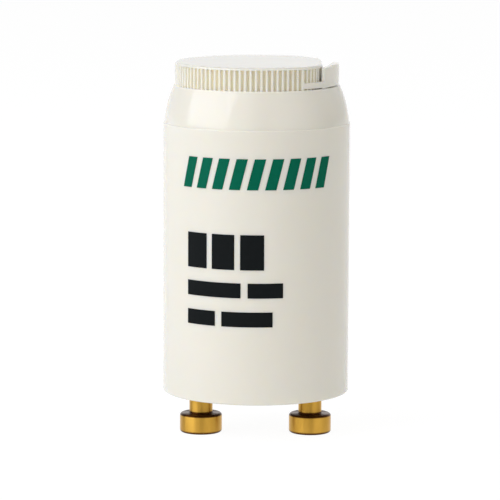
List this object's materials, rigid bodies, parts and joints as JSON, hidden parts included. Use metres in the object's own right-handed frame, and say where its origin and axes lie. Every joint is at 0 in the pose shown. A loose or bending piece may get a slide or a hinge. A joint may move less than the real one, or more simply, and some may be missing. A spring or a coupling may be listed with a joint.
{
  "type": "fluorescent starter",
  "caption": "Plug-in starter for fluorescent lamps: white moulded can with a ribbed grip and click finger, and two turned brass contact pins below.",
  "frame": {"origin": "on the can's axis, in the plane of the contact pins' flat ends", "axes": "+Z along the can's axis towards the grip, X along the line of the two pins with the click finger at +X"},
  "size_m": [0.0216, 0.0216, 0.0433],
  "materials": {
    "can_plastic": "satin moulded polycarbonate, warm white",
    "disc_plastic": "moulded, fine matt",
    "brass": "turned, fine rings, slightly tarnished",
    "tinned_brass": "tin plated, dull",
    "glass": "clear, blown",
    "bimetal": "rolled, satin",
    "nickel": "drawn nickel, satin",
    "lead_wire": "tinned wire, dull",
    "film_wrap": "yellow polyester tape wrap",
    "resin": "cast brown resin",
    "sleeve_plastic": "extruded, translucent white",
    "solder": "solidified solder, satin",
    "green_ink": "pad printed ink",
    "black_ink": "pad printed ink"
  },
  "bodies": {
    "root": {"canister": "can_plastic", "base_disc": "disc_plastic", "contact_pin_left": "brass", "contact_pin_right": "brass", "solder_tag_left": "tinned_brass", "solder_tag_right": "tinned_brass", "bulb_glass": "glass", "bimetal_strip": "bimetal", "fixed_electrode": "nickel", "bulb_lead_left": "lead_wire", "bulb_lead_right": "lead_wire", "capacitor_roll": "film_wrap", "capacitor_seal_lower": "resin", "capacitor_seal_upper": "resin", "capacitor_lead_lower": "lead_wire", "capacitor_lead_upper": "lead_wire", "lead_sleeve": "sleeve_plastic", "solder_left": "solder", "solder_right": "solder", "print_green": "green_ink", "print_black": "black_ink"}
  },
  "joints": []
}
